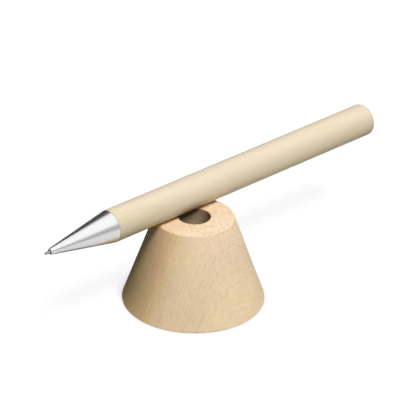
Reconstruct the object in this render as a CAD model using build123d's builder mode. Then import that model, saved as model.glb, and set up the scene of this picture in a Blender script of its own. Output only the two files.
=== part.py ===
from build123d import *
import os
from math import atan2, cos, degrees, pi, radians, sin, sqrt, tan

# A desk pen set: a turned wooden stand, and the pen that lies across its flat top.
# The origin is the centre of the stand's foot and +Z is up. The pen lies along X, its point towards -X.
# Lengths are in millimetres. A station is a distance along the pen, measured backwards from the face
# where the nose meets the barrel, so stations in the nose are negative.

# Stand
stand_foot_d = 60.1
stand_top_d = 33.1
stand_foot_round = 0.4
stand_top_round = 1.0
bore_step = 0.2
bore_floor = 3.2
bore_mouth_round = 0.4
point_room = 2.3

# Where the pen lies on the stand
pen_behind_axis = 6.75
joint_left_of_axis = 40.4
rest_gap = 0.05

# Barrel
pen_d = 14.0
barrel_length = 145.1
barrel_end_round = 2.0
barrel_front_bevel = 0.25

# Screwed joint between nose and barrel
thread_d = 8.0
thread_pitch = 0.75
thread_depth = 0.4
thread_clearance = 0.06
thread_lead_in = 1.0
thread_turns = 9
thread_spare_turns = 2
thread_root = 0.1
spigot_length = 10.0
spigot_bevel = 0.3
bush_wall = 1.0
bush_length = 14.0
bush_recess = 0.4
glue_gap = 0.02

# Nose
nose_length = 31.6
nose_lip = 0.24
nose_end_round = 0.1
nose_base_round = 0.3
guide_length = 4.0
guide_clearance = 0.1
tube_clearance = 0.3

# Refill
shank_d = 2.0
point_reach = 2.7
point_taper = 7.0
collar_length = 1.0
stem_length = 4.0
feed_d = 1.0
feed_stop = 1.5
ball_d = 0.7
ball_play = 0.01
ball_showing = 0.18
lip_wall = 0.1
ink_channel_d = 0.3
tube_d = 3.0
tube_wall = 0.5
tube_length = 98.0
ink_length = 62.0
press_gap = 0.01

# Spring behind the refill
cap_wall = 1.3
cap_clearance = 0.2
cap_grip = 5.0
cap_floor = 1.0
vent_d = 0.8
stub_length = 3.0
stub_clearance = 0.2
spring_length = 14.0
spring_mean_d = 4.4
spring_turns = 8
wire_d = 0.4
wire_gap = 0.05
seat_length = 2.0

# Sizes that follow from those above
pen_r = pen_d / 2
thread_r = thread_d / 2
core_r = thread_r - thread_depth
bush_r = thread_r + thread_clearance + bush_wall
shank_r = shank_d / 2
guide_r = shank_r + guide_clearance
nose_end_r = guide_r + nose_lip
tube_r = tube_d / 2
ink_r = tube_r - tube_wall
nose_bore_r = tube_r + tube_clearance
ball_r = ball_d / 2
socket_r = ball_r + ball_play
cap_r = tube_r + cap_wall
refill_bore_r = cap_r + cap_clearance
spring_r = spring_mean_d / 2
wire_r = wire_d / 2
stub_r = spring_r - wire_r - stub_clearance

# The bore is a step narrower than the barrel: stood point down, the pen hangs by its nose, clear of the floor
bore_r = pen_r - bore_step
hung_length = nose_length * (bore_r - nose_end_r) / (pen_r - nose_end_r) + point_reach
bore_depth = hung_length + point_room
stand_height = bore_depth + bore_floor
pen_z = stand_height + rest_gap + pen_r

# Stations along the pen, from the ball backwards
nose_end = -nose_length
ball_centre = nose_end - point_reach + ball_r
lip = nose_end - point_reach + ball_showing
shoulder = nose_end + guide_length
tube_front = shoulder + collar_length
stem_back = tube_front + stem_length
tube_back = tube_front + tube_length
cap_back = tube_back + cap_floor
seat_front = cap_back + spring_length
seat_back = seat_front + seat_length


def along_pen(station):
    """The plane across the pen at a station, facing the rear end."""
    return Plane((station - joint_left_of_axis, pen_behind_axis, pen_z), x_dir=(0, 1, 0), z_dir=(1, 0, 0))


def towards_point(station):
    """The same plane facing the point, for holes drilled from the front."""
    return Plane(along_pen(station).origin, x_dir=(0, 1, 0), z_dir=(-1, 0, 0))


# The plane of a turned piece's profile: stations run along its x and radii along its y
profile = Plane(along_pen(0).origin, x_dir=(1, 0, 0), z_dir=(0, -1, 0))
pen_axis = Axis(along_pen(0).origin, (1, 0, 0))


def add_thread(start, turns, wall_r, crest_r):
    """Run a thread's ridge round the pen's axis, in or out from a wall, with its root sunk in the wall."""
    outwards = 1 if crest_r > wall_r else -1
    root_r = wall_r - outwards * thread_root
    centre = along_pen(start).origin
    with BuildLine() as turn:
        Helix(thread_pitch, turns * thread_pitch, root_r, center=centre, direction=(1, 0, 0))
    crest_half = 0.1 * thread_pitch
    root_half = crest_half + 0.15 * thread_pitch * (crest_r - root_r) / (crest_r - wall_r)
    with BuildSketch(Plane(turn.line @ 0, x_dir=(turn.line @ 0) - centre, z_dir=turn.line % 0)) as ridge:
        with BuildLine():
            Polyline(
                (0, -root_half),
                (crest_r - root_r, -crest_half),
                (crest_r - root_r, crest_half),
                (0, root_half),
                close=True,
            )
        make_face()
    sweep(ridge.sketch, path=turn.line, is_frenet=True)


def keep(piece, name):
    """Label a finished piece and write it out."""
    piece.part.label = name
    export_step(piece.part, f"parts/{name}.step")


os.makedirs("parts", exist_ok=True)

# Stand: a turned cone with a bore that takes the pen's nose
with BuildPart() as stand_block:
    Cone(stand_foot_d / 2, stand_top_d / 2, stand_height, align=(Align.CENTER, Align.CENTER, Align.MIN))
    with Locations((0, 0, stand_height)):
        Hole(bore_r, depth=bore_depth)
    circles = stand_block.edges().filter_by(GeomType.CIRCLE)
    mouth, rim = circles.group_by(Axis.Z)[-1].sort_by(SortBy.RADIUS)
    foot = circles.group_by(Axis.Z)[0]
    fillet(mouth, bore_mouth_round)
    fillet(rim, stand_top_round)
    fillet(foot, stand_foot_round)
keep(stand_block, "stand_block")

# Barrel: solid at the rear, drilled from the front for the bush, the refill and its spring
with BuildPart() as barrel:
    with BuildSketch(along_pen(0)):
        Circle(pen_r)
    extrude(amount=barrel_length)
    fillet(barrel.edges().group_by(Axis.X)[-1], barrel_end_round)
    chamfer(barrel.edges().group_by(Axis.X)[0], barrel_front_bevel)
    with Locations(towards_point(0)):
        CounterBoreHole(refill_bore_r, bush_r + glue_gap, bush_recess + bush_length, depth=seat_back)
keep(barrel, "barrel")

# Bush: glued into the barrel, its thread half a pitch behind the nose's, so that the ridges interleave
with BuildPart() as thread_bush:
    with BuildSketch(along_pen(bush_recess)):
        Circle(bush_r)
        Circle(thread_r + thread_clearance, mode=Mode.SUBTRACT)
    extrude(amount=bush_length)
    add_thread(
        thread_lead_in + thread_pitch / 2,
        thread_turns + thread_spare_turns,
        thread_r + thread_clearance,
        core_r + thread_clearance,
    )
keep(thread_bush, "thread_bush")

# Nose: a turned cone with a threaded spigot behind it, bored for the refill
with BuildPart() as nose_cone:
    with BuildSketch(profile):
        with BuildLine():
            Polyline(
                (nose_end, guide_r),
                (nose_end, nose_end_r),
                (0, pen_r),
                (0, core_r),
                (spigot_length, core_r),
                (spigot_length, nose_bore_r),
                (shoulder, nose_bore_r),
                (shoulder, guide_r),
                close=True,
            )
        make_face()
    revolve(axis=pen_axis)
    fillet(nose_cone.edges().filter_by(GeomType.CIRCLE).sort_by(SortBy.RADIUS)[-1], nose_base_round)
    end_edges = nose_cone.edges().filter_by(GeomType.CIRCLE).group_by(Axis.X)
    fillet(end_edges[0].sort_by(SortBy.RADIUS)[-1], min(nose_end_round, nose_lip / 2))
    chamfer(end_edges[-1].sort_by(SortBy.RADIUS)[-1], spigot_bevel)
    add_thread(thread_lead_in, thread_turns, core_r, thread_r)
keep(nose_cone, "nose_cone")

# Refill point: a taper with a socket for the ball, a collar that seats in the nose and a stem in the tube
with BuildPart() as refill_point:
    socket_angle = degrees(atan2(ink_channel_d / 2, sqrt(socket_r**2 - (ink_channel_d / 2) ** 2)))
    mouth_angle = degrees(atan2(sqrt(socket_r**2 - (lip - ball_centre) ** 2), lip - ball_centre))
    lip_r = socket_r * sin(radians(mouth_angle)) + lip_wall
    taper_back = lip + (shank_r - lip_r) / tan(radians(point_taper))
    feed_front = ball_centre + feed_stop
    with BuildSketch(profile):
        with BuildLine():
            socket = CenterArc((ball_centre, 0), socket_r, socket_angle, mouth_angle - socket_angle)
            Polyline(
                socket @ 1,
                (lip, lip_r),
                (taper_back, shank_r),
                (shoulder, shank_r),
                (shoulder, tube_r),
                (tube_front, tube_r),
                (tube_front, ink_r - press_gap),
                (stem_back, ink_r - press_gap),
                (stem_back, feed_d / 2),
                (feed_front, feed_d / 2),
                (feed_front, ink_channel_d / 2),
                socket @ 0,
            )
        make_face()
    revolve(axis=pen_axis)
keep(refill_point, "refill_point")

# Ball: trapped in the point's socket
with BuildPart() as point_ball:
    with Locations(along_pen(ball_centre)):
        Sphere(ball_r)
keep(point_ball, "point_ball")

# Tube: pushed over the point's stem
with BuildPart() as refill_tube:
    with BuildSketch(along_pen(tube_front)):
        Circle(tube_r)
        Circle(ink_r, mode=Mode.SUBTRACT)
    extrude(amount=tube_length)
keep(refill_tube, "refill_tube")

# Ink: from the stem backwards
with BuildPart() as refill_ink:
    with BuildSketch(along_pen(stem_back)):
        Circle(ink_r - press_gap)
    extrude(amount=ink_length)
keep(refill_ink, "refill_ink")

# End cap: centres the tube in the bore and carries the spring, with a vent for the tube
with BuildPart() as refill_end_cap:
    with BuildSketch(along_pen(tube_back - cap_grip)):
        Circle(cap_r)
    extrude(amount=cap_grip + cap_floor)
    with BuildSketch(along_pen(cap_back)):
        Circle(stub_r)
    extrude(amount=stub_length)
    with Locations(towards_point(tube_back - cap_grip)):
        CounterBoreHole(vent_d / 2, tube_r + press_gap, cap_grip, depth=cap_grip + cap_floor + stub_length)
keep(refill_end_cap, "refill_end_cap")

# Spring seat: a plug at the bottom of the bore
with BuildPart() as spring_seat:
    with BuildSketch(along_pen(seat_front)):
        Circle(refill_bore_r - glue_gap)
    extrude(amount=seat_length)
    with BuildSketch(along_pen(seat_front)):
        Circle(stub_r)
    extrude(amount=-stub_length)
keep(spring_seat, "spring_seat")

# Spring: one wire, wound as pairs of arcs that meet halfway along each quarter turn
first_wire = cap_back + wire_gap + wire_r
rise = (spring_length - 2 * (wire_gap + wire_r)) / (2 * pi * spring_turns)
quarter = pi / 2
half = quarter / 2


def on_wire(angle, radius):
    """A point on the wire's centre line, or beside it, after turning through an angle."""
    return along_pen(first_wire + rise * angle).origin + Vector(0, radius * cos(angle), radius * sin(angle))


# The two arcs meet a little off the helix, at the radius where both share one tangent
fall = 2 * rise**2 * half
reach = spring_r**3 * sin(half) + spring_r * half * rise**2 * (2 * cos(half) + half * sin(half))
meet_r = (sqrt(fall**2 + 4 * spring_r * sin(half) * reach) - fall) / (2 * spring_r * sin(half))

with BuildPart() as refill_spring:
    with BuildLine() as wire:
        heading = Vector(rise, 0, spring_r)
        for count in range(4 * spring_turns):
            begin = count * quarter
            first = TangentArc(
                on_wire(begin, spring_r),
                on_wire(begin + half, meet_r),
                tangent=heading,
            )
            second = TangentArc(
                on_wire(begin + half, meet_r),
                on_wire(begin + quarter, spring_r),
                tangent=first % 1,
            )
            heading = second % 1
    with BuildSketch(Plane(wire.line @ 0, z_dir=wire.line % 0)):
        Circle(wire_r)
    sweep()
keep(refill_spring, "refill_spring")

# Least gap between one turn of the wire and the next, measured on points along it
samples = [on_wire(i * quarter / 4, spring_r) for i in range(16 * spring_turns + 1)]
turn_gap = min((b - a).length for i, a in enumerate(samples) for b in samples[i + 8 :]) - wire_d
print(f"least gap between turns of the spring {turn_gap:.2f} mm")
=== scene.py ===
from math import atan, cos, pi, radians, sin, tan

import bmesh
import bpy
from mathutils import Matrix, Vector


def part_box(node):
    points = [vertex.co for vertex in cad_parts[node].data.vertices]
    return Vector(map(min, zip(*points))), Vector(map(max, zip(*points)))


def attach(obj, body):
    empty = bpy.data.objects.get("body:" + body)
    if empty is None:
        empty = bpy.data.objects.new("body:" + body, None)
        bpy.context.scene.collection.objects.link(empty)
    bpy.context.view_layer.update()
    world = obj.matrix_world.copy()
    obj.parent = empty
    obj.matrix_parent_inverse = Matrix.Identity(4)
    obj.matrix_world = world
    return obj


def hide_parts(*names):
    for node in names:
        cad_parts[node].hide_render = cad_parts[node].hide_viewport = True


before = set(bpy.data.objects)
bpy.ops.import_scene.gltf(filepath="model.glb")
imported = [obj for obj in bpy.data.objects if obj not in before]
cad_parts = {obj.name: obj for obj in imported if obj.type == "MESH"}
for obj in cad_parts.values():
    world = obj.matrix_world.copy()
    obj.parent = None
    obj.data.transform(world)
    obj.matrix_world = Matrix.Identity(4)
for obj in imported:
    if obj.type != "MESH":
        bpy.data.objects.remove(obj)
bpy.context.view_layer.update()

# Sizes of the pieces that show, in metres, as the solids have them
stand_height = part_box("stand_block")[1].z
stand_foot_r = 0.03005
stand_top_r = 0.01655
stand_foot_round = 0.0004
stand_top_round = 0.001
bore_r = 0.0068
bore_floor = 0.0032
bore_mouth_round = 0.0004

pen_r = 0.007
rest_gap = 0.00005
pen_y = 0.00675
pen_z = stand_height + pen_r + rest_gap
joint_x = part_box("barrel")[0].x
barrel_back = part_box("barrel")[1].x
barrel_end_round = 0.002
barrel_front_bevel = 0.00025
bush_hole_r = 0.00508
bush_hole_depth = 0.0144
refill_hole_r = 0.003
refill_hole_depth = 0.0884

nose_length = 0.0316
nose_end_x = joint_x - nose_length
nose_end_r = 0.00134
nose_end_round = 0.0001
nose_base_round = 0.0003
nose_guide_r = 0.0011
nose_guide_length = 0.004
nose_guide_back = nose_end_x + nose_guide_length
nose_bore_r = 0.0018
spigot_r = 0.0036
spigot_length = 0.01
spigot_bevel = 0.0003
thread_r = 0.004
thread_pitch = 0.00075
thread_start = 0.001
thread_turns = 9
thread_crest_half = 0.1 * thread_pitch
thread_root_half = 0.26 * thread_pitch
thread_root_sunk = 0.0001
thread_steps_a_turn = 48

point_reach = 0.00252
point_front = nose_end_x - point_reach
point_lip_r = 0.000417
point_lip_round = 0.00003
point_taper = radians(7)
shank_r = 0.001
collar_r = 0.0015
collar_length = 0.001
collar_back = nose_guide_back + collar_length
tail_r = 0.00099
tail_length = 0.004
tail_back = collar_back + tail_length
feed_r = 0.0005
feed_inset = 0.0017
feed_front = point_front + feed_inset
throat_r = 0.00015
ball_inset = 0.00017
ball_x = point_front + ball_inset
socket_r = 0.00036
socket_angles = (65.4, 57, 45, 30, 15, 0, -15, -28.18)

# Slack for merging corners, for telling rings apart and for telling a bore's wall
merge_distance = 1e-6
ring_slack = 2e-6
wall_slack = 0.00002

mm_per_metre = 1000.0


def deselect():
    """Leave nothing selected, so that the next operator acts on its own piece alone."""
    if bpy.context.mode != "OBJECT":
        bpy.ops.object.mode_set(mode="OBJECT")
    bpy.ops.object.select_all(action="DESELECT")


# Turning on the lathe: a circle is drawn out ring by ring along its axis

def on_stand(place):
    return Vector((0, 0, place))


def on_pen(place):
    return Vector((place, pen_y, pen_z))


def turn(name, centre, rings, sides):
    """A turned shell from rings of (place along the axis, radius), left in edit mode."""
    deselect()
    along_x = centre is on_pen
    place, radius = rings[0]
    bpy.ops.mesh.primitive_circle_add(
        vertices=sides, radius=radius, location=centre(place),
        rotation=(0, radians(90) if along_x else 0, 0),
    )
    piece = bpy.context.object
    piece.name = piece.data.name = name
    bpy.ops.object.transform_apply(location=True, rotation=True, scale=True)
    bpy.ops.object.mode_set(mode="EDIT")
    bpy.ops.mesh.select_mode(type="EDGE")
    bpy.ops.mesh.select_all(action="SELECT")
    for next_place, next_radius in rings[1:]:
        bpy.ops.mesh.extrude_region_move(
            TRANSFORM_OT_translate={"value": centre(next_place) - centre(place)}
        )
        if next_radius != radius:
            grow = next_radius / radius
            bpy.ops.transform.resize(
                value=(1, grow, grow) if along_x else (grow, grow, 1), center_override=centre(next_place)
            )
        place, radius = next_place, next_radius
    return piece


def pick_ring(piece, centre, place, radius):
    """Select the edges of one ring of a turned piece."""
    bpy.ops.mesh.select_all(action="DESELECT")
    mesh = bmesh.from_edit_mesh(piece.data)
    axis = (centre(1) - centre(0)).normalized()
    for edge in mesh.edges:
        on_ring = True
        for corner in edge.verts:
            out = corner.co - centre(0)
            along = out.dot(axis)
            away = (out - along * axis).length
            if abs(along - place) > ring_slack or abs(away - radius) > ring_slack:
                on_ring = False
        edge.select_set(on_ring)
    mesh.select_flush_mode()
    bmesh.update_edit_mesh(piece.data)


def round_ring(piece, centre, place, radius, by, steps):
    """Round one ring's edge, or bevel it in a single step."""
    pick_ring(piece, centre, place, radius)
    bpy.ops.mesh.bevel(offset=by, offset_type="OFFSET", segments=steps, profile=0.5, affect="EDGES")


def cap_ring(piece, centre, place, radius):
    """Close the open end of a turned piece."""
    pick_ring(piece, centre, place, radius)
    bpy.ops.mesh.edge_face_add()


def merge_seams():
    """Merge the corners that lie on each other."""
    bpy.ops.mesh.select_all(action="SELECT")
    bpy.ops.mesh.remove_doubles(threshold=merge_distance)


def take_off_lathe(piece, smooth_below=35):
    """Merge the seams, turn the faces outwards and smooth the turned surfaces."""
    merge_seams()
    bpy.ops.mesh.normals_make_consistent(inside=False)
    bpy.ops.object.mode_set(mode="OBJECT")
    bpy.ops.object.shade_smooth_by_angle(angle=radians(smooth_below))
    return piece


def turn_stand():
    lean = atan((stand_foot_r - stand_top_r) / stand_height)
    foot_offset = stand_foot_round * tan((pi / 2 + lean) / 2)
    top_offset = stand_top_round * tan((pi / 2 - lean) / 2)
    stand = turn("stand_turned", on_stand, [
        (0, stand_foot_r),
        (stand_height, stand_top_r),
        (stand_height, bore_r),
        (bore_floor, bore_r),
    ], sides=256)
    cap_ring(stand, on_stand, 0, stand_foot_r)
    cap_ring(stand, on_stand, bore_floor, bore_r)
    round_ring(stand, on_stand, 0, stand_foot_r, foot_offset, steps=8)
    round_ring(stand, on_stand, stand_height, stand_top_r, top_offset, steps=8)
    round_ring(stand, on_stand, stand_height, bore_r, bore_mouth_round, steps=6)
    return take_off_lathe(stand)


def turn_barrel():
    bush_hole_end = joint_x + bush_hole_depth
    refill_hole_end = joint_x + refill_hole_depth
    barrel = turn("barrel_turned", on_pen, [
        (barrel_back, pen_r),
        (joint_x, pen_r),
        (joint_x, bush_hole_r),
        (bush_hole_end, bush_hole_r),
        (bush_hole_end, refill_hole_r),
        (refill_hole_end, refill_hole_r),
    ], sides=192)
    cap_ring(barrel, on_pen, barrel_back, pen_r)
    cap_ring(barrel, on_pen, refill_hole_end, refill_hole_r)
    round_ring(barrel, on_pen, barrel_back, pen_r, barrel_end_round, steps=10)
    round_ring(barrel, on_pen, joint_x, pen_r, barrel_front_bevel, steps=1)
    return take_off_lathe(barrel)


def turn_nose():
    spigot_end = joint_x + spigot_length
    nose = turn("nose_turned", on_pen, [
        (nose_end_x, nose_guide_r),
        (nose_end_x, nose_end_r),
        (joint_x, pen_r),
        (joint_x, spigot_r),
        (spigot_end, spigot_r),
        (spigot_end, nose_bore_r),
        (nose_guide_back, nose_bore_r),
        (nose_guide_back, nose_guide_r),
        (nose_end_x, nose_guide_r),
    ], sides=256)
    merge_seams()
    round_ring(nose, on_pen, nose_end_x, nose_end_r, nose_end_round, steps=4)
    round_ring(nose, on_pen, joint_x, pen_r, nose_base_round, steps=6)
    round_ring(nose, on_pen, spigot_end, spigot_r, spigot_bevel, steps=1)
    take_off_lathe(nose)
    thread = wind_thread()
    deselect()
    thread.select_set(True)
    nose.select_set(True)
    bpy.context.view_layer.objects.active = nose
    bpy.ops.object.join()
    return nose


def wind_thread():
    """The ridge of the spigot's thread, its root sunk in the spigot."""
    deselect()
    bpy.ops.mesh.primitive_plane_add(size=1, location=(0, 0, 0))
    ridge = bpy.context.object
    ridge.name = ridge.data.name = "thread_ridge"
    bpy.ops.object.mode_set(mode="EDIT")
    mesh = bmesh.from_edit_mesh(ridge.data)
    for corner in mesh.verts:
        outer = corner.co.y > 0
        height = thread_r if outer else spigot_r - thread_root_sunk
        half = thread_crest_half if outer else thread_root_half
        corner.co = (0, height, half if corner.co.x > 0 else -half)
    bmesh.update_edit_mesh(ridge.data)
    bpy.ops.mesh.select_all(action="SELECT")
    bpy.ops.mesh.delete(type="ONLY_FACE")
    bpy.ops.object.mode_set(mode="OBJECT")
    winding = ridge.modifiers.new("winding", "SCREW")
    winding.axis = "Z"
    winding.angle = 2 * pi * thread_turns
    winding.screw_offset = thread_pitch * thread_turns
    winding.steps = winding.render_steps = thread_steps_a_turn * thread_turns
    bpy.ops.object.modifier_apply(modifier=winding.name)
    lengthwise = Matrix.Rotation(radians(90), 4, "Y")
    ridge.matrix_world = Matrix.Translation(on_pen(joint_x + thread_start)) @ lengthwise
    bpy.ops.object.transform_apply(location=True, rotation=True, scale=True)
    bpy.ops.object.mode_set(mode="EDIT")
    bpy.ops.mesh.select_all(action="DESELECT")
    bpy.ops.mesh.select_mode(type="EDGE")
    bpy.ops.mesh.select_non_manifold()
    bpy.ops.mesh.edge_face_add()
    return take_off_lathe(ridge, smooth_below=30)


def turn_point():
    socket = [
        (ball_x + socket_r * sin(radians(angle)), socket_r * cos(radians(angle)))
        for angle in socket_angles
    ]
    mouth_x = socket[-1][0]
    point = turn("point_turned", on_pen, [
        socket[-1],
        (mouth_x, point_lip_r),
        (point_front + (shank_r - point_lip_r) / tan(point_taper), shank_r),
        (nose_guide_back, shank_r),
        (nose_guide_back, collar_r),
        (collar_back, collar_r),
        (collar_back, tail_r),
        (tail_back, tail_r),
        (tail_back, feed_r),
        (feed_front, feed_r),
        (feed_front, throat_r),
        *socket,
    ], sides=96)
    merge_seams()
    round_ring(point, on_pen, mouth_x, point_lip_r, point_lip_round, steps=3)
    return take_off_lathe(point, smooth_below=25)


# Shader building

def add_node(tree, kind, at, **values):
    """A node with its settings and its unlinked input values."""
    made = tree.nodes.new(kind)
    made.location = at
    for key, value in values.items():
        if hasattr(made, key):
            setattr(made, key, value)
        else:
            made.inputs[key.replace("_", " ")].default_value = value
    return made


def feed(tree, socket, value):
    """Give an input a plain number, a plain colour or another node's output."""
    if isinstance(value, (int, float)):
        socket.default_value = value
    elif isinstance(value, tuple):
        socket.default_value = (*value, 1)
    else:
        tree.links.new(value, socket)


def maths(tree, operation, at, *terms):
    """One sum on sockets or plain numbers."""
    made = add_node(tree, "ShaderNodeMath", at, operation=operation)
    for socket, value in zip(made.inputs, terms):
        feed(tree, socket, value)
    return made.outputs[0]


def spread(tree, at, value, low, high, to_low=0.0, to_high=1.0, soft=True):
    """Map a range of values onto another, clamped, with soft ends."""
    made = add_node(
        tree, "ShaderNodeMapRange", at, interpolation_type="SMOOTHSTEP" if soft else "LINEAR",
        From_Min=low, From_Max=high, To_Min=to_low, To_Max=to_high,
    )
    tree.links.new(value, made.inputs["Value"])
    return made.outputs[0]


def parted(tree, at, place):
    """The three values of a place."""
    made = add_node(tree, "ShaderNodeSeparateXYZ", at)
    tree.links.new(place, made.inputs[0])
    return made.outputs


def joined(tree, at, *values):
    """Three values as one place."""
    made = add_node(tree, "ShaderNodeCombineXYZ", at)
    for value, socket in zip(values, made.inputs):
        tree.links.new(value, socket)
    return made.outputs[0]


def cloud(tree, at, place, stretch=(1.0, 1.0, 1.0), detail=2.0, roughness=0.5):
    """Noise around a half, with its coordinates stretched along the grain or across it."""
    stretched = add_node(tree, "ShaderNodeVectorMath", (at[0] - 180, at[1]), operation="MULTIPLY")
    tree.links.new(place, stretched.inputs[0])
    stretched.inputs[1].default_value = stretch
    made = add_node(tree, "ShaderNodeTexNoise", at, Scale=1.0, Detail=detail, Roughness=roughness)
    tree.links.new(stretched.outputs[0], made.inputs["Vector"])
    return made.outputs["Fac"]


def cloud_along(tree, at, place, scale, detail=2.0, roughness=0.5):
    """Noise around a half, along one line."""
    made = add_node(
        tree, "ShaderNodeTexNoise", at,
        noise_dimensions="1D", Scale=scale, Detail=detail, Roughness=roughness,
    )
    tree.links.new(place, made.inputs["W"])
    return made.outputs["Fac"]


def tint(tree, at, factor, first, second, blend="MIX"):
    """Mix two colours, each a socket or a plain colour."""
    made = add_node(tree, "ShaderNodeMix", at, data_type="RGBA", blend_type=blend)
    sockets = [s for s in made.inputs if s.enabled]
    for socket, value in zip(sockets, (factor, first, second)):
        feed(tree, socket, value)
    return [s for s in made.outputs if s.enabled][0]


def new_group(name, inputs, outputs):
    """An empty shader group with its named sockets."""
    group = bpy.data.node_groups.new(name, "ShaderNodeTree")
    for label, kind, value in inputs:
        socket = group.interface.new_socket(label, in_out="INPUT", socket_type="NodeSocket" + kind)
        if value is not None:
            socket.default_value = value
    for label, kind in outputs:
        group.interface.new_socket(label, in_out="OUTPUT", socket_type="NodeSocket" + kind)
    taken = add_node(group, "NodeGroupInput", (-1800, 0))
    given = add_node(group, "NodeGroupOutput", (1400, 0))
    return group, taken.outputs, given.inputs


def build_timber():
    """Pale close-grained wood in millimetres: z runs along the grain, x away from the heart of the tree."""
    group, taken, given = new_group(
        "timber",
        [
            ("Place", "Vector", None),
            ("End Grain", "Float", 0.0),
            ("Heart Distance", "Float", 90.0),
            ("Ring Width", "Float", 0.9),
            ("Ring Strength", "Float", 0.5),
            ("Fleck Strength", "Float", 0.5),
            ("Fibre Strength", "Float", 0.5),
            ("Figure Strength", "Float", 0.5),
            ("Wander", "Float", 4.0),
            ("Heartwood Edge", "Float", 0.0),
            ("Heartwood Blend", "Float", 5.0),
            ("Heartwood Line", "Float", 0.0),
            ("Heartwood", "Color", (1.0, 0.9, 0.71, 1)),
            ("Sapwood", "Color", (1.0, 1.0, 1.0, 1)),
            ("Pale", "Color", (0.8, 0.64, 0.46, 1)),
            ("Late", "Color", (0.66, 0.48, 0.32, 1)),
            ("Fleck", "Color", (0.72, 0.45, 0.25, 1)),
        ],
        [("Color", "Color"), ("Roughness", "Float"), ("Height", "Float")],
    )
    place = taken["Place"]

    # Rings and rays wander a little from their true places
    wander = cloud(group, (-1600, 300), place, (0.06, 0.06, 0.02), detail=3.0).node
    shift = add_node(group, "ShaderNodeVectorMath", (-1400, 300), operation="MULTIPLY_ADD")
    for value, socket in zip((wander.outputs["Color"], taken["Wander"], place), shift.inputs):
        group.links.new(value, socket)
    x, y, z = parted(group, (-1220, 300), shift.outputs[0])

    # Growth rings about the heart, with a second line every other year
    out = maths(group, "ADD", (-1040, 380), x, taken["Heart Distance"])
    reach = maths(group, "SQRT", (-700, 380), maths(
        group, "ADD", (-860, 380),
        maths(group, "MULTIPLY", (-1040, 240), out, out),
        maths(group, "MULTIPLY", (-1040, 120), y, y),
    ))
    years = maths(group, "DIVIDE", (-540, 380), reach, taken["Ring Width"])
    uneven = cloud_along(group, (-540, 200), years, 0.23)
    year = maths(group, "MULTIPLY_ADD", (-360, 380), uneven, 2.6, years)
    late = 0.0
    for at, beat, share in ((460, 1.0, 0.6), (300, 0.5, 0.5)):
        season = maths(group, "FRACT", (-200, at), maths(group, "MULTIPLY", (-280, at), year, beat))
        line = maths(
            group, "MULTIPLY", (40, at),
            spread(group, (-120, at + 60), season, 0.2, 0.8),
            spread(group, (-120, at - 60), season, 1.0, 0.8),
        )
        late = maths(group, "MULTIPLY_ADD", (120, at), line, share, late)
    vigour = cloud_along(group, (-380, 60), years, 0.55)
    fading = cloud(group, (-200, 180), place, (0.3, 0.3, 0.15))
    for at, force, least in ((200, vigour, 0.55), (280, fading, 0.4)):
        left = spread(group, (at - 160, 120), force, 0.35, 0.65, least, 1.0)
        late = maths(group, "MULTIPLY", (at, 380), late, left)

    # Rays run out from the heart, and fibres lean a little as they climb
    bearing = maths(group, "ARCTAN2", (-1040, -40), y, out)
    across_rays = maths(group, "MULTIPLY", (-1040, -120), bearing, taken["Heart Distance"])
    turned_rays = joined(group, (-860, -260), reach, across_rays, z)
    rays = cloud(group, (-540, -260), turned_rays, (0.5, 2.0, 0.45), 2.5, 0.6)
    fleck = spread(group, (-360, -260), rays, 0.48, 0.62)

    true_x, true_y, true_z = parted(group, (-1220, 0), place)
    leaning_x = maths(group, "MULTIPLY_ADD", (-1040, 0), true_z, -0.1, true_x)
    leaning = joined(group, (-860, 0), leaning_x, true_y, true_z)
    fibre = cloud(group, (-540, -60), leaning, (2.6, 2.6, 0.3), 3.0, 0.6)
    figure = cloud(group, (-540, 60), leaning, (0.85, 0.85, 0.05), 2.0, 0.55)
    sheen = cloud(group, (-540, -460), place, (0.07, 0.07, 0.035))
    pores = cloud(group, (-540, -640), place, (7.0, 7.0, 0.7), 1.0)
    pore = spread(group, (-360, -640), pores, 0.66, 0.78)

    # Heartwood and the sapwood next to it have their own tints, and a dark line can part them; where a tint
    # is above 1, as on the stand, it is partly painted light that brightens a shaded side, and the tints
    # are weaker on end grain
    past_edge = maths(group, "SUBTRACT", (120, 640), reach, taken["Heartwood Edge"])
    blended = maths(group, "DIVIDE", (220, 560), past_edge, taken["Heartwood Blend"])
    inside = spread(group, (320, 560), blended, 1.0, -1.0)
    edge_line = maths(
        group, "MULTIPLY", (400, 480),
        maths(group, "SUBTRACT", (360, 500), 1.0, inside),
        maths(group, "MULTIPLY", (360, 460), inside, taken["Heartwood Line"]),
    )
    ring_share = maths(group, "MULTIPLY_ADD", (440, 380), late, taken["Ring Strength"], edge_line)
    colour = tint(group, (620, 380), ring_share, taken["Pale"], taken["Late"])
    on_side = spread(group, (120, 760), taken["End Grain"], 0.0, 1.0, 1.0, 0.4)
    heartwood = maths(group, "MULTIPLY", (500, 560), inside, on_side)
    colour = tint(group, (700, 460), heartwood, colour, taken["Heartwood"], "MULTIPLY")
    sapwood = maths(group, "MULTIPLY", (500, 700), on_side, maths(
        group, "MULTIPLY", (420, 700),
        spread(group, (320, 760), past_edge, -6.0, 2.0),
        spread(group, (320, 680), past_edge, 14.0, 5.0),
    ))
    colour = tint(group, (760, 520), sapwood, colour, taken["Sapwood"], "MULTIPLY")

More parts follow.
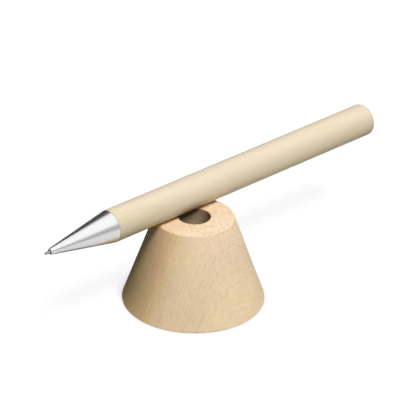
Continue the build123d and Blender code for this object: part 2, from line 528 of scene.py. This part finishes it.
    # Flecks of the rays, a slow change of warmth, fibres and pores
    fleck_share = maths(
        group, "MULTIPLY", (440, -200),
        maths(group, "MULTIPLY", (280, -200), fleck, taken["Fleck Strength"]),
        maths(group, "MULTIPLY_ADD", (280, -340), taken["End Grain"], 0.75, 0.25),
    )
    colour = tint(group, (780, 300), fleck_share, colour, taken["Fleck"])
    warm = spread(group, (-360, -460), sheen, 0.35, 0.65)
    warmth = tint(group, (780, 60), warm, (1.0, 0.985, 0.985), (1.0, 1.005, 0.955))
    colour = tint(group, (940, 240), 1.0, colour, warmth, "MULTIPLY")
    grain = maths(
        group, "MULTIPLY_ADD", (-160, -60),
        maths(group, "SUBTRACT", (-360, -60), fibre, 0.5), taken["Fibre Strength"],
        maths(
            group, "MULTIPLY", (-160, 60),
            maths(group, "SUBTRACT", (-360, 60), figure, 0.5), taken["Figure Strength"],
        ),
    )
    for at, full, shade in ((1100, -0.25, (0.84, 0.815, 0.78)), (1180, 0.25, (1.1, 1.12, 1.15))):
        share = spread(group, (at - 160, 0), grain, 0.0, full, soft=False)
        colour = tint(group, (at, 200), share, colour, shade, "MULTIPLY")
    pore_share = maths(group, "MULTIPLY", (1100, -100), pore, 0.3)
    colour = tint(group, (1240, 160), pore_share, colour, (0.8, 0.72, 0.64), "MULTIPLY")
    group.links.new(colour, given["Color"])

    least_rough = spread(group, (940, -180), taken["End Grain"], 0.0, 1.0, 0.42, 0.52)
    rough = maths(group, "MULTIPLY_ADD", (1100, -180), fibre, 0.22, least_rough)
    group.links.new(rough, given["Roughness"])
    relief = maths(group, "MULTIPLY_ADD", (940, -340), late, 0.25, fibre)
    relief = maths(group, "MULTIPLY_ADD", (1100, -340), pore, -0.8, relief)
    group.links.new(relief, given["Height"])
    return group


def build_lathe_lines():
    """Fine rings left by a lathe tool, from a place along the axis in millimetres."""
    group, taken, given = new_group(
        "lathe_lines",
        [("Along", "Float", 0.0), ("Lines", "Float", 12.0)],
        [("Tone", "Float"), ("Height", "Float")],
    )
    passes = maths(group, "MULTIPLY", (-1400, 100), taken["Along"], taken["Lines"])
    fine = cloud_along(group, (-1200, 100), passes, 1.0, 3.0, 0.7)
    broad = cloud_along(group, (-1200, -200), taken["Along"], 0.8)
    both = maths(group, "MULTIPLY_ADD", (-900, 0), broad, 0.4, fine)
    group.links.new(spread(group, (-700, 60), both, 0.35, 1.05), given["Tone"])
    group.links.new(fine, given["Height"])
    return group


def build_speckle():
    """Even specks, from a place in millimetres."""
    group, taken, given = new_group(
        "speckle",
        [("Place", "Vector", None), ("Grain", "Float", 3.0)],
        [("Tone", "Float"), ("Height", "Float")],
    )
    skin = cloud(group, (-900, 0), taken["Place"], detail=3.0, roughness=0.6)
    group.links.new(taken["Grain"], skin.node.inputs["Scale"])
    group.links.new(spread(group, (-600, 0), skin, 0.3, 0.7), given["Tone"])
    group.links.new(skin, given["Height"])
    return group


timber = build_timber()
lathe_lines = build_lathe_lines()
speckle = build_speckle()


def new_finish(name):
    """A material with its shader and the object's own coordinates."""
    finish = bpy.data.materials.new(name)
    finish.use_nodes = True
    tree = finish.node_tree
    shader = tree.nodes["Principled BSDF"]
    coords = add_node(tree, "ShaderNodeTexCoord", (-1600, 0))
    return finish, tree, shader, coords


def in_millimetres(tree, at, coords, **values):
    """The object's own coordinates in millimetres, turned and shifted as wanted."""
    scale = (mm_per_metre, mm_per_metre, mm_per_metre)
    mapping = add_node(tree, "ShaderNodeMapping", at, Scale=scale, **values)
    tree.links.new(coords.outputs["Object"], mapping.inputs["Vector"])
    return mapping.outputs[0]


def add_relief(tree, shader, height, strength, depth):
    bump = add_node(tree, "ShaderNodeBump", (-240, -320), Strength=strength, Distance=depth)
    tree.links.new(height, bump.inputs["Height"])
    tree.links.new(bump.outputs["Normal"], shader.inputs["Normal"])


def show_tone(tree, shader, pattern, dull, base, roughness, relief):
    """Colour, roughness and relief from a pattern, with the roughness for its dull and its base colour."""
    tone = pattern.outputs["Tone"]
    tree.links.new(tint(tree, (-500, 200), tone, dull, base), shader.inputs["Base Color"])
    rough = spread(tree, (-500, -80), tone, 0.0, 1.0, *roughness, soft=False)
    tree.links.new(rough, shader.inputs["Roughness"])
    add_relief(tree, shader, pattern.outputs["Height"], *relief)


def wood_finish(name, turn_by, shift, across, settings, pale, late, fleck, relief, gloss):
    """A wooden piece: its grain is turned to run along it, and end grain shows where a face lies across."""
    finish, tree, shader, coords = new_finish(name)
    place = in_millimetres(tree, (-1300, 100), coords, Rotation=turn_by, Location=shift)
    facing = parted(tree, (-1300, -300), coords.outputs["Normal"])
    lies_across = maths(tree, "ABSOLUTE", (-1100, -300), facing[across])
    end_grain = spread(tree, (-900, -300), lies_across, 0.75, 0.97)
    wood = add_node(tree, "ShaderNodeGroup", (-600, 100), node_tree=timber)
    tree.links.new(place, wood.inputs["Place"])
    tree.links.new(end_grain, wood.inputs["End Grain"])
    for key, value in settings.items():
        wood.inputs[key].default_value = value
    for key, (side, end) in (("Pale", pale), ("Late", late), ("Fleck", fleck)):
        tree.links.new(tint(tree, (-800, 500), end_grain, side, end), wood.inputs[key])
    tree.links.new(wood.outputs["Color"], shader.inputs["Base Color"])
    tree.links.new(wood.outputs["Roughness"], shader.inputs["Roughness"])
    shader.inputs["Specular IOR Level"].default_value = gloss
    add_relief(tree, shader, wood.outputs["Height"], *relief)
    return finish


def metal_finish(name, dull, base, lines, roughness, relief):
    """A turned metal piece with fine lathe lines round the pen's axis."""
    finish, tree, shader, coords = new_finish(name)
    along = parted(tree, (-1300, 0), coords.outputs["Object"])["X"]
    turned = add_node(tree, "ShaderNodeGroup", (-900, 0), node_tree=lathe_lines, Lines=lines)
    tree.links.new(maths(tree, "MULTIPLY", (-1100, 0), along, mm_per_metre), turned.inputs["Along"])
    shader.inputs["Metallic"].default_value = 1.0
    show_tone(tree, shader, turned, dull, base, roughness, relief)
    return finish


def speckled_finish(name, dull, base, roughness, grain, relief=(0.1, 0.00002), gloss=0.5):
    """An evenly speckled piece: moulded or drawn plastic, ink, or wood left rough by a drill."""
    finish, tree, shader, coords = new_finish(name)
    skin = add_node(tree, "ShaderNodeGroup", (-900, 0), node_tree=speckle, Grain=grain)
    tree.links.new(in_millimetres(tree, (-1300, 0), coords), skin.inputs["Place"])
    shader.inputs["Specular IOR Level"].default_value = gloss
    show_tone(tree, shader, skin, dull, base, roughness, relief)
    return finish


def upright_turn(bearing):
    """Turns the wood so that its grain stands upright, with its heart opposite the bearing."""
    return Matrix.Rotation(-bearing, 3, "Z").to_euler()


def lengthwise_turn(bearing, lean):
    """Turns the wood so that its grain leans along the pen, with its heart at a bearing from the top."""
    along = Matrix.Rotation(radians(-90), 3, "Y") @ Matrix.Rotation(-bearing, 3, "X")
    return (Matrix.Rotation(-lean, 3, "Y") @ along).to_euler()


# Each wood colour is a pair, for its sides and for its end grain
# On the stand the heartwood and the band next to it are tinted above 1: partly the wood's own colour zones,
# partly painted light that brightens the shaded left of its side.
stand_wood = wood_finish(
    "stand_wood", turn_by=upright_turn(radians(-82.5)), shift=(0, 0, 0), across="Z",
    settings={
        "Heart Distance": 66.0, "Ring Width": 0.62, "Ring Strength": 0.6, "Fleck Strength": 0.9,
        "Fibre Strength": 0.14, "Figure Strength": 0.34, "Heartwood Edge": 75.0,
        "Heartwood": (1.14, 1.0, 0.81, 1), "Sapwood": (1.17, 1.14, 1.1, 1),
    },
    pale=((0.812, 0.624, 0.44), (0.765, 0.627, 0.475)),
    late=((0.69, 0.486, 0.316), (0.73, 0.56, 0.395)),
    fleck=((0.733, 0.521, 0.331), (0.765, 0.5, 0.26)),
    relief=(0.25, 0.00003), gloss=0.0,
)
# The bore's wood is darker than the turned outside: painted shade of the deep bore, with the drilled wood's
# real speckle and roughness.
bore_wood_painted_shade = speckled_finish(
    "bore_wood_painted_shade", dull=(0.28, 0.205, 0.125), base=(0.62, 0.465, 0.3),
    roughness=(0.75, 0.85), grain=2.2, relief=(0.5, 0.0001), gloss=0.0,
)
barrel_turn = lengthwise_turn(radians(62), radians(-5.7))
loop_x = -0.017
loop_place = mm_per_metre * on_pen(loop_x)
barrel_wood = wood_finish(
    "barrel_wood", turn_by=barrel_turn, shift=-(barrel_turn.to_matrix() @ loop_place), across="X",
    settings={
        "Heart Distance": 38.0, "Ring Width": 2.6, "Ring Strength": 0.28, "Fleck Strength": 0.3,
        "Fibre Strength": 0.08, "Figure Strength": 0.1, "Wander": 1.0,
        "Heartwood Edge": 31.5, "Heartwood Blend": 0.35, "Heartwood Line": 2.0,
        "Heartwood": (0.965, 0.955, 0.935, 1),
    },
    pale=((0.71, 0.585, 0.42), (0.675, 0.53, 0.37)),
    late=((0.645, 0.5, 0.335), (0.59, 0.445, 0.3)),
    fleck=((0.67, 0.51, 0.35), (0.61, 0.435, 0.285)),
    relief=(0.12, 0.00002), gloss=0.9,
)
nose_metal = metal_finish(
    "nose_metal", dull=(0.81, 0.81, 0.815), base=(0.86, 0.86, 0.86),
    lines=9.0, roughness=(0.33, 0.28), relief=(0.02, 0.000004),
)
# The nose's bore is nearly black: painted shade of the recess round the point.
nose_bore_painted_shade = metal_finish(
    "nose_bore_painted_shade", dull=(0.015, 0.015, 0.015), base=(0.03, 0.03, 0.03),
    lines=9.0, roughness=(0.6, 0.5), relief=(0.1, 0.00001),
)
point_metal = metal_finish(
    "point_metal", dull=(0.34, 0.32, 0.29), base=(0.52, 0.49, 0.45),
    lines=30.0, roughness=(0.3, 0.18), relief=(0.1, 0.000005),
)
ball_metal = metal_finish(
    "ball_metal", dull=(0.025, 0.023, 0.022), base=(0.05, 0.047, 0.043),
    lines=40.0, roughness=(0.2, 0.12), relief=(0.02, 0.000002),
)
bush_brass = metal_finish(
    "bush_brass", dull=(0.62, 0.45, 0.20), base=(0.80, 0.62, 0.32),
    lines=10.0, roughness=(0.4, 0.25), relief=(0.1, 0.00001),
)
spring_steel = metal_finish(
    "spring_steel", dull=(0.42, 0.42, 0.43), base=(0.62, 0.62, 0.62),
    lines=14.0, roughness=(0.4, 0.25), relief=(0.05, 0.00001),
)
tube_plastic = speckled_finish(
    "tube_plastic", dull=(0.76, 0.79, 0.80), base=(0.85, 0.87, 0.88), roughness=(0.22, 0.32), grain=1.2
)
cap_plastic = speckled_finish(
    "cap_plastic", dull=(0.74, 0.74, 0.71), base=(0.84, 0.84, 0.82), roughness=(0.4, 0.5), grain=4.0
)
seat_plastic = speckled_finish(
    "seat_plastic", dull=(0.08, 0.08, 0.08), base=(0.13, 0.13, 0.13), roughness=(0.45, 0.55), grain=4.0
)
ink_finish = speckled_finish(
    "ink_black", dull=(0.006, 0.006, 0.009), base=(0.012, 0.012, 0.018), roughness=(0.1, 0.18), grain=0.6
)


def dress(piece, finish):
    """Give a modelled piece its finish."""
    piece.data.materials.clear()
    piece.data.materials.append(finish)


def finish_and_shade_stand_bore(piece, finish):
    """The drilled wall and floor of the stand's bore are rougher than the turned outside, and darker with
    painted shade.
    """
    piece.data.materials.append(finish)
    for face in piece.data.polygons:
        radius = (face.center.x**2 + face.center.y**2) ** 0.5
        below_mouth = bore_floor / 2 < face.center.z < stand_height - bore_mouth_round
        if radius < bore_r + wall_slack and below_mouth:
            face.material_index = 1


def paint_nose_bore_shade(piece, finish):
    """The nose's bore is dull, and nearly black with painted shade."""
    piece.data.materials.append(finish)
    for face in piece.data.polygons:
        radius = ((face.center.y - pen_y) ** 2 + (face.center.z - pen_z) ** 2) ** 0.5
        if radius < nose_bore_r + wall_slack and face.center.x > nose_end_x + nose_end_round / 2:
            face.material_index = 1


stand = turn_stand()
barrel = turn_barrel()
nose = turn_nose()
point = turn_point()
for piece, body, node, finish, slot in (
    (stand, "stand", "stand_block", stand_wood, "stand_wood"),
    (barrel, "pen", "barrel", barrel_wood, "barrel_wood"),
    (nose, "nose", "nose_cone", nose_metal, "nose_metal"),
    (point, "refill", "refill_point", point_metal, "point_metal"),
):
    dress(piece, finish)
    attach(piece, body)
    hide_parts(node)
finish_and_shade_stand_bore(stand, bore_wood_painted_shade)
paint_nose_bore_shade(nose, nose_bore_painted_shade)

for node, finish in (
    ("point_ball", ball_metal),
    ("thread_bush", bush_brass),
    ("refill_tube", tube_plastic),
    ("refill_ink", ink_finish),
    ("refill_end_cap", cap_plastic),
    ("refill_spring", spring_steel),
    ("spring_seat", seat_plastic),
):
    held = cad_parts[node]
    held.data.materials.clear()
    held.data.materials.append(finish)

# Floor, world, lamps and camera

camera_azimuth = radians(-42.481)
camera_elevation = radians(29.4)
camera_roll = radians(0.987)
camera_distance = 1.4
camera_target = Vector((0.007562, 0, 0.039702))
camera_lens = 291.82
camera_sensor = 36

lamp_target = Vector((0, 0, 0.03))
lamp_distance = 1.8
floor_size = 8

# The pale sheet lies under the pen and to the right, so that on the left little light comes back up
sheet_centre = (0.03, -0.05, 0.0)
sheet_pale_r = 0.07
sheet_end_r = 0.12
sheet_pale = (0.58, 0.55, 0.37)
sheet_dark = (0.03, 0.03, 0.03)


def lay_floor():
    """White paper to the camera and in what shines, and a small pale sheet for the light it throws back."""
    deselect()
    bpy.ops.mesh.primitive_plane_add(size=floor_size, location=(0, 0, 0))
    floor = bpy.context.object
    floor.name = "studio_floor"
    paper = bpy.data.materials.new("studio_paper")
    paper.use_nodes = True
    tree = paper.node_tree
    tree.nodes.remove(tree.nodes["Principled BSDF"])
    place = add_node(tree, "ShaderNodeTexCoord", (-1300, 600))
    away = add_node(tree, "ShaderNodeVectorMath", (-1100, 600), operation="DISTANCE")
    tree.links.new(place.outputs["Object"], away.inputs[0])
    away.inputs[1].default_value = sheet_centre
    on_sheet = spread(tree, (-900, 600), away.outputs["Value"], sheet_pale_r, sheet_end_r, 1.0, 0.0)
    shown = add_node(tree, "ShaderNodeBsdfDiffuse", (-500, 300))
    tree.links.new(tint(tree, (-700, 600), on_sheet, sheet_dark, sheet_pale), shown.inputs["Color"])
    rays = add_node(tree, "ShaderNodeLightPath", (-900, 400)).outputs
    mirrored = maths(tree, "MAXIMUM", (-700, 400), rays["Is Glossy Ray"], rays["Is Transmission Ray"])
    # Close to the pieces the glow that makes the paper white fades by ambient occlusion: a painted contact
    # shadow
    nearby = add_node(tree, "ShaderNodeAmbientOcclusion", (-900, -400), samples=8, Distance=0.005)
    painted_contact_shadow = maths(tree, "MULTIPLY_ADD", (-700, -400), nearby.outputs["AO"], 0.6, 0.4)
    for at, share, pale, glow, strength in (
        (100, mirrored, (0.67, 0.645, 0.615), 0.05, 1.0),
        (-200, rays["Is Camera Ray"], (0.2, 0.195, 0.188), 0.86, painted_contact_shadow),
    ):
        paper_lit = add_node(tree, "ShaderNodeBsdfDiffuse", (-500, at), Color=(*pale, 1))
        paper_glow = add_node(tree, "ShaderNodeEmission", (-500, at - 120), Color=(glow, glow, glow, 1))
        feed(tree, paper_glow.inputs["Strength"], strength)
        white = add_node(tree, "ShaderNodeAddShader", (-300, at))
        tree.links.new(paper_lit.outputs[0], white.inputs[0])
        tree.links.new(paper_glow.outputs[0], white.inputs[1])
        both = add_node(tree, "ShaderNodeMixShader", (-100, at))
        for value, socket in zip((share, shown.outputs[0], white.outputs[0]), both.inputs):
            tree.links.new(value, socket)
        shown = both
    tree.links.new(shown.outputs[0], tree.nodes["Material Output"].inputs["Surface"])
    floor.data.materials.append(paper)


def light_world():
    """A faint blue-green light all round, and white to the camera, a mirror or clear glass."""
    world = bpy.data.worlds.new("studio")
    bpy.context.scene.world = world
    world.use_nodes = True
    tree = world.node_tree
    around = tree.nodes["Background"]
    around.inputs["Color"].default_value = (0.25, 1.0, 0.75, 1)
    around.inputs["Strength"].default_value = 0.045
    behind = add_node(tree, "ShaderNodeBackground", (0, -160), Color=(1, 1, 1, 1), Strength=1.0)
    rays = add_node(tree, "ShaderNodeLightPath", (-600, 200)).outputs
    seen = maths(tree, "MAXIMUM", (-400, 200), rays["Is Camera Ray"], rays["Is Glossy Ray"])
    seen = maths(tree, "MAXIMUM", (-200, 200), seen, rays["Is Transmission Ray"])
    both = add_node(tree, "ShaderNodeMixShader", (240, 0))
    for value, socket in zip((seen, around.outputs[0], behind.outputs[0]), both.inputs):
        tree.links.new(value, socket)
    tree.links.new(both.outputs[0], tree.nodes["World Output"].inputs["Surface"])


def hang_lamp(name, sideways, height, size, power, colour):
    """A soft lamp, placed by its degrees to the right of the camera and above the floor."""
    lamp = bpy.data.lights.new(name, "AREA")
    lamp.shape = "RECTANGLE"
    lamp.size, lamp.size_y = size
    lamp.energy = power
    lamp.color = colour
    hung = bpy.data.objects.new(name, lamp)
    bpy.context.scene.collection.objects.link(hung)
    bearing, rise = camera_azimuth + radians(sideways - 90), radians(height)
    aim = Vector((cos(rise) * cos(bearing), cos(rise) * sin(bearing), sin(rise)))
    hung.location = lamp_target + aim * lamp_distance
    hung.rotation_euler = aim.to_track_quat("Z", "Y").to_euler()
    hung.visible_glossy = False


def hang_card(name, place, size, shade):
    """A card of the studio, turned to the pen, that shows only in what shines."""
    deselect()
    away = Vector(place) - on_pen(joint_x)
    bpy.ops.mesh.primitive_plane_add(
        size=1, location=place, rotation=away.to_track_quat("Z", "Y").to_euler()
    )
    card = bpy.context.object
    card.name = name
    card.scale = (*size, 1)
    cloth = bpy.data.materials.new(name)
    cloth.use_nodes = True
    tree = cloth.node_tree
    tree.nodes.remove(tree.nodes["Principled BSDF"])
    face = add_node(tree, "ShaderNodeEmission", (0, 0), Color=(shade, shade, shade, 1), Strength=1.0)
    tree.links.new(face.outputs[0], tree.nodes["Material Output"].inputs["Surface"])
    card.data.materials.append(cloth)
    card.visible_camera = card.visible_diffuse = card.visible_shadow = False
    card.visible_transmission = card.visible_volume_scatter = False


def set_camera():
    """The camera that was fitted to the photo."""
    level = cos(camera_elevation)
    back = Vector((sin(camera_azimuth) * level, -cos(camera_azimuth) * level, sin(camera_elevation)))
    right = (-back).cross(Vector((0, 0, 1))).normalized()
    up = right.cross(-back)
    turn_cos, turn_sin = cos(camera_roll), sin(camera_roll)
    right, up = turn_cos * right + turn_sin * up, turn_cos * up - turn_sin * right
    data = bpy.data.cameras.new("photo_camera")
    data.sensor_width = camera_sensor
    data.sensor_fit = "HORIZONTAL"
    data.lens = camera_lens
    data.clip_start, data.clip_end = 0.05, 20
    camera = bpy.data.objects.new("photo_camera", data)
    bpy.context.scene.collection.objects.link(camera)
    turned = Matrix((right, up, back)).transposed().to_4x4()
    camera.matrix_world = Matrix.Translation(camera_target + back * camera_distance) @ turned
    bpy.context.scene.camera = camera


lay_floor()
light_world()
hang_lamp("front_softbox", 36, 60, size=(0.6, 0.6), power=36.6, colour=(0.995, 1.012, 1.07))
hang_lamp("back_softbox", 174, 48, size=(1.0, 1.0), power=6.9, colour=(0.95, 1.0, 1.08))
hang_lamp("low_back_softbox", 182, 12, size=(1.0, 0.5), power=3.6, colour=(0.97, 1.0, 1.04))
hang_card("softbox_face", (0.35, -0.2, 0.85), size=(2.2, 1.3), shade=1.13)
hang_card("back_flag", (0.3, 0.85, 0.42), size=(2.4, 1.15), shade=0.02)
hang_card("front_flag", (0.3, -0.9, 0.24), size=(1.6, 0.6), shade=0.42)
# A dark card on the floor left of the stand, seen only in what shines: a painted shadow of the pieces on
# the floor, reflected low on the nose.
hang_card("painted_floor_shadow", (-0.045, 0.012, 0.004), size=(0.07, 0.03), shade=0.18)
set_camera()
bpy.context.scene.view_settings.view_transform = "Standard"
